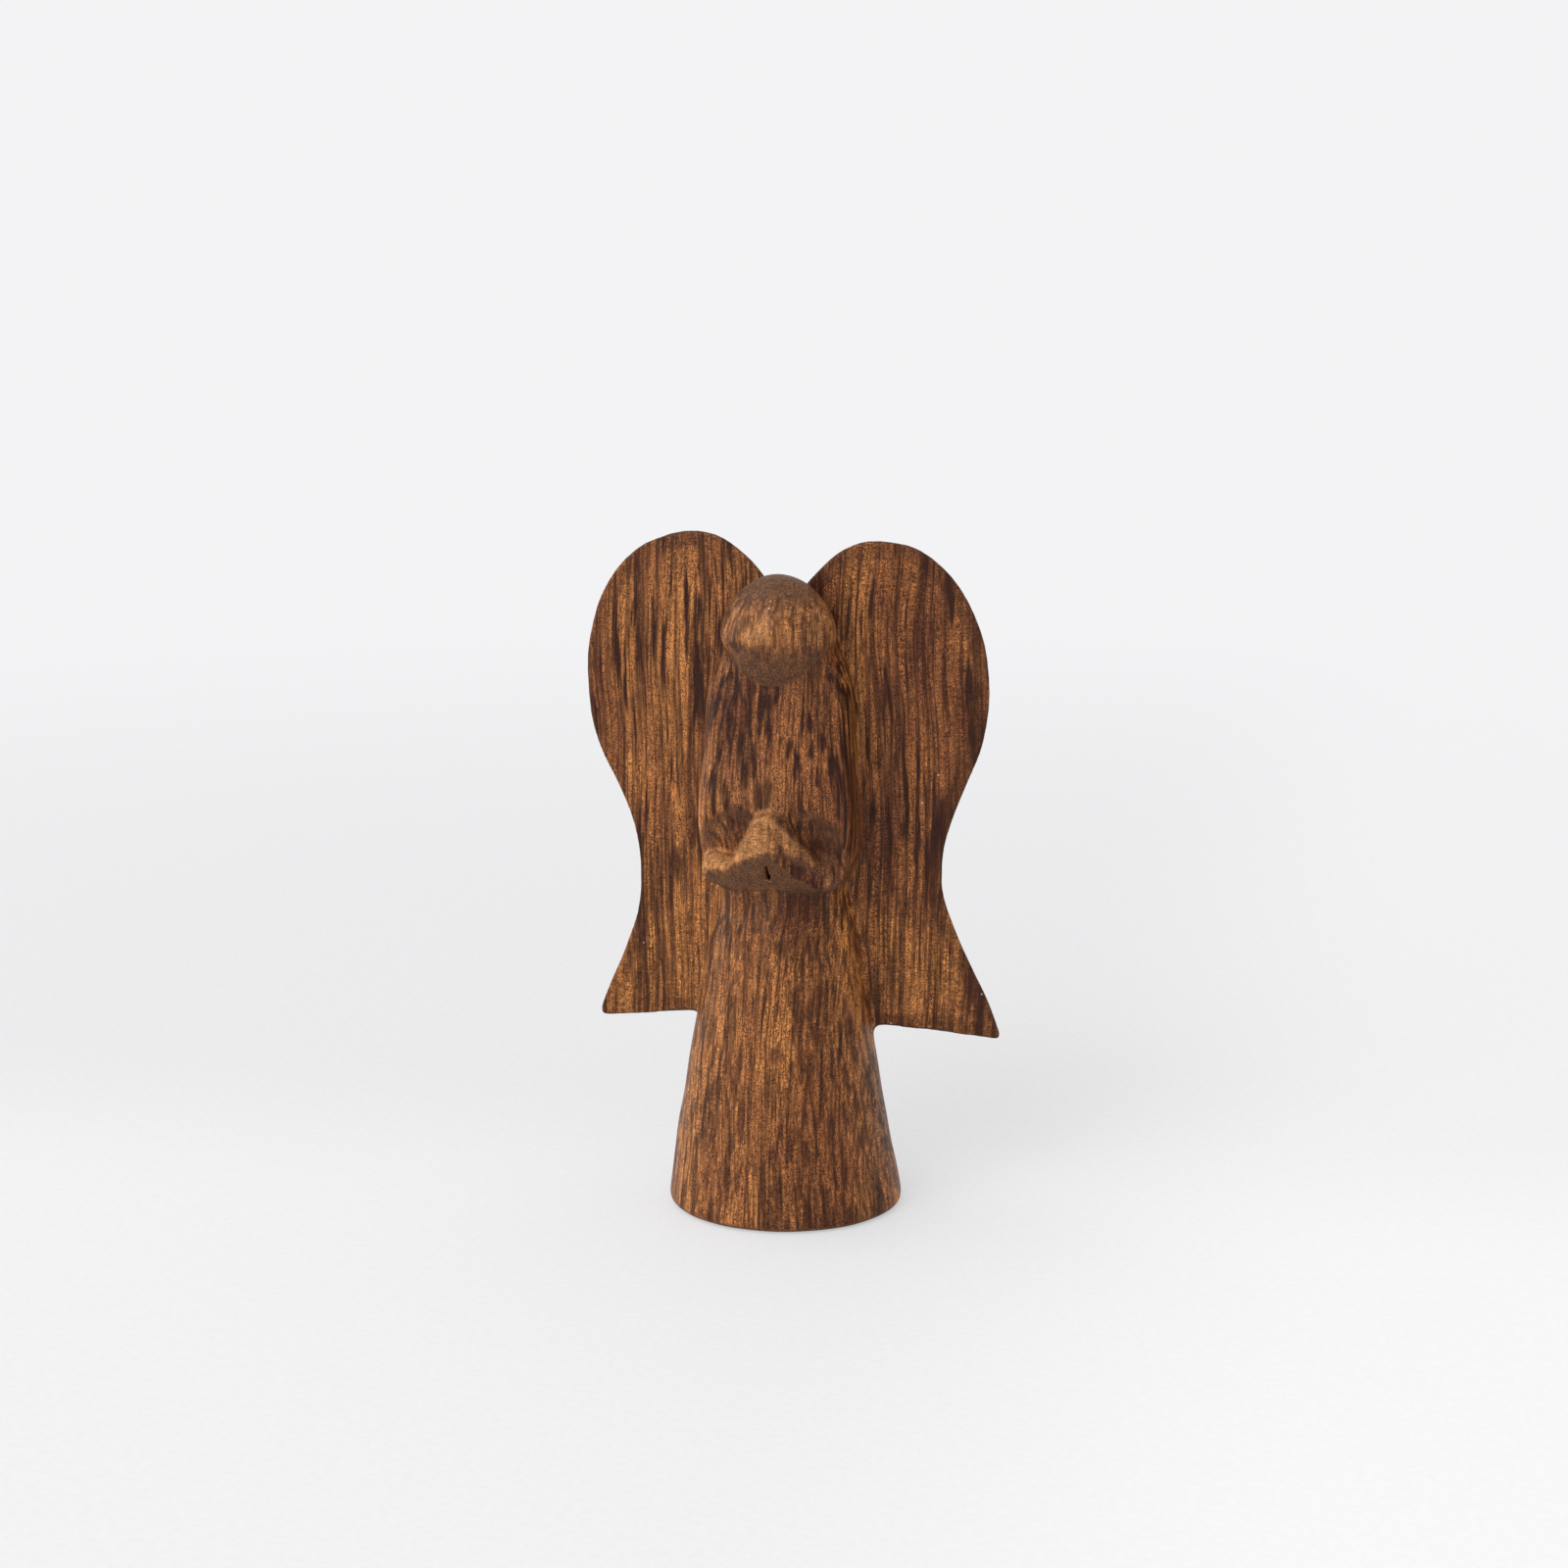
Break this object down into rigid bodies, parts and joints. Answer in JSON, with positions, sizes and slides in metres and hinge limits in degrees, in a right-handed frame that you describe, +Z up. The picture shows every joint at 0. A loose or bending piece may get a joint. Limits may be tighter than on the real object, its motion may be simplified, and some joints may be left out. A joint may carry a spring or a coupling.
{
  "type": "praying angel figurine",
  "caption": "Hand-carved hardwood angel with a blank bowed head, praying hands, a flared round robe and broad wings, standing on a flat base.",
  "frame": {"origin": "centre of the flat underside of the robe", "axes": "+Z up from the base to the head; the figure faces -Y; +X is the figure's own left, which is the viewer's right"},
  "size_m": [0.0614, 0.0346, 0.1],
  "materials": {
    "wood": "satin wax over straight-grained reddish-brown hardwood"
  },
  "bodies": {
    "root": {"robe": "wood", "torso": "wood", "head": "wood", "left_arm": "wood", "right_arm": "wood", "left_wing": "wood", "right_wing": "wood"}
  },
  "joints": []
}
